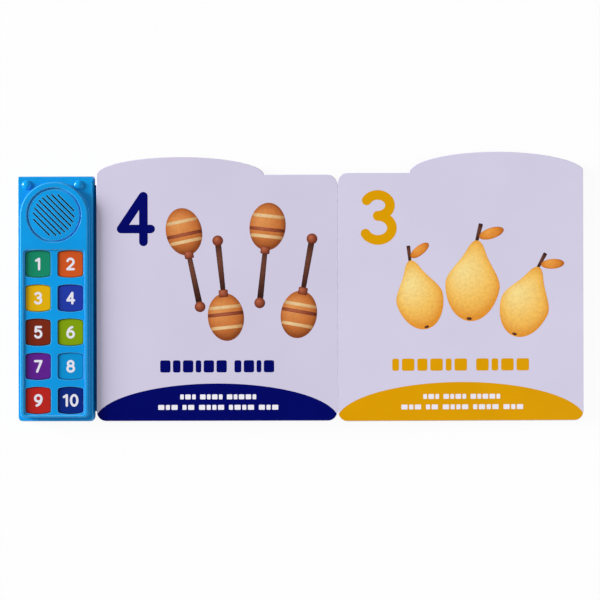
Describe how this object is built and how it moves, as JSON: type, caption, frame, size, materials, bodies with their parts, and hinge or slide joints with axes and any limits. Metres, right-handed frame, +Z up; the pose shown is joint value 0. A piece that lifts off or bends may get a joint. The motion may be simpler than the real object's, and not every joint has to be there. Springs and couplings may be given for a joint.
{
  "type": "interactive sound book",
  "caption": "Open board book with a moulded sound module: numbered push buttons, a domed speaker grille, a hinged front cover and a flat spine.",
  "frame": {"origin": "middle of the open book's footprint, on the surface that it lies on", "axes": "+X along the open book from the sound module to the turned page, +Y towards the pages' heads, +Z up"},
  "size_m": [0.4882, 0.2322, 0.014],
  "materials": {
    "cover_board": "laminated board, satin",
    "page": "laminated board, soft gloss",
    "module_blue": "gloss moulding",
    "rear_blue": "fine grain moulding",
    "rubber": "matte",
    "circuit": "satin",
    "black_resin": "satin",
    "steel": "satin",
    "cone": "satin",
    "lead_red": "satin",
    "lead_black": "satin",
    "button_1": "soft gloss moulding",
    "button_2": "soft gloss moulding",
    "button_3": "soft gloss moulding",
    "button_4": "soft gloss moulding",
    "button_5": "soft gloss moulding",
    "button_6": "soft gloss moulding",
    "button_7": "soft gloss moulding",
    "button_8": "soft gloss moulding",
    "button_9": "soft gloss moulding",
    "button_10": "soft gloss moulding"
  },
  "bodies": {
    "back": {"back_cover": "cover_board", "left_leaves": "page", "front_housing": "module_blue", "rear_housing": "rear_blue", "battery_door": "rear_blue", "corner_stud_left": "module_blue", "corner_stud_right": "module_blue", "keypad_membrane": "rubber", "circuit_board": "circuit", "sound_chip": "black_resin", "speaker_frame": "steel", "speaker_cone": "cone", "speaker_magnet": "black_resin", "speaker_lead_1": "lead_red", "speaker_lead_2": "lead_black", "battery_door_screw": "steel", "button_cell_1": "steel", "button_cell_2": "steel", "button_cell_3": "steel", "battery_contact_1": "steel", "battery_contact_2": "steel", "battery_contact_3": "steel", "battery_contact_4": "steel", "housing_screw_1": "steel", "housing_screw_2": "steel", "housing_screw_3": "steel", "housing_screw_4": "steel", "housing_screw_5": "steel", "housing_screw_6": "steel"},
    "front_cover": {"front_cover": "cover_board", "turned_leaf": "page"},
    "spine": {"spine_strip": "cover_board"},
    "button_1_body": {"button_1": "button_1"},
    "button_2_body": {"button_2": "button_2"},
    "button_3_body": {"button_3": "button_3"},
    "button_4_body": {"button_4": "button_4"},
    "button_5_body": {"button_5": "button_5"},
    "button_6_body": {"button_6": "button_6"},
    "button_7_body": {"button_7": "button_7"},
    "button_8_body": {"button_8": "button_8"},
    "button_9_body": {"button_9": "button_9"},
    "button_10_body": {"button_10": "button_10"}
  },
  "joints": [
    {"name": "front_cover_hinge", "type": "hinge", "parent": "back", "child": "front_cover", "pos_m": [0.03143, 0, 0.00895], "axis": [0, -1, 0], "range_deg": [0, 180.2]},
    {"name": "spine_hinge", "type": "hinge", "parent": "back", "child": "spine", "pos_m": [0.03207, 0, 0], "axis": [0, -1, 0], "range_deg": [0, 90.1]},
    {"name": "button_1_press", "type": "slide", "parent": "back", "child": "button_1_body", "axis": [0, 0, -1], "range_m": [0, 0.0008], "stiffness_N_per_m": 1200, "springref_m": -0.0003},
    {"name": "button_2_press", "type": "slide", "parent": "back", "child": "button_2_body", "axis": [0, 0, -1], "range_m": [0, 0.0008], "stiffness_N_per_m": 1200, "springref_m": -0.0003},
    {"name": "button_3_press", "type": "slide", "parent": "back", "child": "button_3_body", "axis": [0, 0, -1], "range_m": [0, 0.0008], "stiffness_N_per_m": 1200, "springref_m": -0.0003},
    {"name": "button_4_press", "type": "slide", "parent": "back", "child": "button_4_body", "axis": [0, 0, -1], "range_m": [0, 0.0008], "stiffness_N_per_m": 1200, "springref_m": -0.0003},
    {"name": "button_5_press", "type": "slide", "parent": "back", "child": "button_5_body", "axis": [0, 0, -1], "range_m": [0, 0.0008], "stiffness_N_per_m": 1200, "springref_m": -0.0003},
    {"name": "button_6_press", "type": "slide", "parent": "back", "child": "button_6_body", "axis": [0, 0, -1], "range_m": [0, 0.0008], "stiffness_N_per_m": 1200, "springref_m": -0.0003},
    {"name": "button_7_press", "type": "slide", "parent": "back", "child": "button_7_body", "axis": [0, 0, -1], "range_m": [0, 0.0008], "stiffness_N_per_m": 1200, "springref_m": -0.0003},
    {"name": "button_8_press", "type": "slide", "parent": "back", "child": "button_8_body", "axis": [0, 0, -1], "range_m": [0, 0.0008], "stiffness_N_per_m": 1200, "springref_m": -0.0003},
    {"name": "button_9_press", "type": "slide", "parent": "back", "child": "button_9_body", "axis": [0, 0, -1], "range_m": [0, 0.0008], "stiffness_N_per_m": 1200, "springref_m": -0.0003},
    {"name": "button_10_press", "type": "slide", "parent": "back", "child": "button_10_body", "axis": [0, 0, -1], "range_m": [0, 0.0008], "stiffness_N_per_m": 1200, "springref_m": -0.0003}
  ],
  "couplings": [
    {"joint": "spine_hinge", "follows": "front_cover_hinge", "ratio": 0.5}
  ]
}
